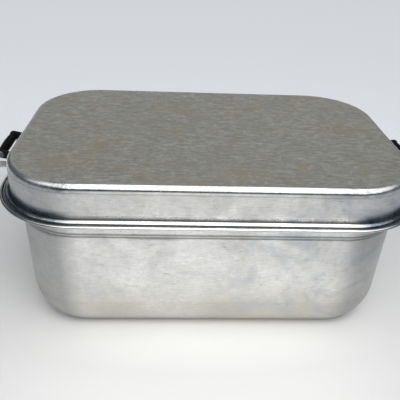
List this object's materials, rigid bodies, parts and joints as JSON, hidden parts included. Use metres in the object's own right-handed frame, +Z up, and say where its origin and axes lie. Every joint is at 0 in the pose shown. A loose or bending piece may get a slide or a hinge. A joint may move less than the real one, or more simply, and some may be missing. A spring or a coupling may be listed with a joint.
{
  "type": "covered roasting pan",
  "caption": "Rectangular drawn aluminium roasting pan with a deep lid that sits inside its rolled rim, swinging grips at the ends and a wire rack inside",
  "frame": {"origin": "middle of the pan's flat bottom, on the surface it stands on", "axes": "+X along the pan's length to the right-hand grip, +Y to the back, +Z up"},
  "size_m": [0.4882, 0.3022, 0.1974],
  "materials": {
    "base_aluminium": "satin, worn, with scratches and pits",
    "lid_aluminium": "satin, streaked and heat stained",
    "ear_aluminium": "satin pressed sheet",
    "arm_black": "pressed strap, stoved black, worn dull",
    "rivet_aluminium": "bright, domed heads",
    "pin_steel": "bright, peened ends",
    "grip_phenolic": "black phenolic moulding, semi-gloss",
    "rack_wire": "tinned wire, dulled"
  },
  "bodies": {
    "base": {"base_pan": "base_aluminium", "base_left_front_ear": "ear_aluminium", "base_left_rear_ear": "ear_aluminium", "base_left_rivets": "rivet_aluminium", "base_left_pivot_pins": "pin_steel", "base_right_front_ear": "ear_aluminium", "base_right_rear_ear": "ear_aluminium", "base_right_rivets": "rivet_aluminium", "base_right_pivot_pins": "pin_steel"},
    "lid": {"lid_pan": "lid_aluminium", "lid_left_front_ear": "ear_aluminium", "lid_left_rear_ear": "ear_aluminium", "lid_left_rivets": "rivet_aluminium", "lid_left_pivot_pins": "pin_steel", "lid_right_front_ear": "ear_aluminium", "lid_right_rear_ear": "ear_aluminium", "lid_right_rivets": "rivet_aluminium", "lid_right_pivot_pins": "pin_steel"},
    "rack": {"wire_rack": "rack_wire"},
    "lid_left_handle": {"lid_left_front_arm": "arm_black", "lid_left_rear_arm": "arm_black", "lid_left_grip": "grip_phenolic", "lid_left_tie_rod": "pin_steel"},
    "lid_right_handle": {"lid_right_front_arm": "arm_black", "lid_right_rear_arm": "arm_black", "lid_right_grip": "grip_phenolic", "lid_right_tie_rod": "pin_steel"},
    "base_left_handle": {"base_left_front_arm": "arm_black", "base_left_rear_arm": "arm_black", "base_left_grip": "grip_phenolic", "base_left_tie_rod": "pin_steel"},
    "base_right_handle": {"base_right_front_arm": "arm_black", "base_right_rear_arm": "arm_black", "base_right_grip": "grip_phenolic", "base_right_tie_rod": "pin_steel"}
  },
  "joints": [
    {"name": "lid_lift", "type": "slide", "parent": "base", "child": "lid", "axis": [0, 0, 1], "range_m": [0, 0.25]},
    {"name": "rack_lift", "type": "slide", "parent": "base", "child": "rack", "axis": [0, 0, 1], "range_m": [0, 0.15]},
    {"name": "lid_left_handle_swing", "type": "hinge", "parent": "lid", "child": "lid_left_handle", "pos_m": [-0.2249, 0, 0.171], "axis": [0, 1, 0], "range_deg": [0, 80]},
    {"name": "lid_right_handle_swing", "type": "hinge", "parent": "lid", "child": "lid_right_handle", "pos_m": [0.2249, 0, 0.171], "axis": [0, -1, 0], "range_deg": [0, 80]},
    {"name": "base_left_handle_swing", "type": "hinge", "parent": "base", "child": "base_left_handle", "pos_m": [-0.21557, 0, 0.124], "axis": [0, 1, 0], "range_deg": [0, 80]},
    {"name": "base_right_handle_swing", "type": "hinge", "parent": "base", "child": "base_right_handle", "pos_m": [0.21557, 0, 0.124], "axis": [0, -1, 0], "range_deg": [0, 80]}
  ]
}
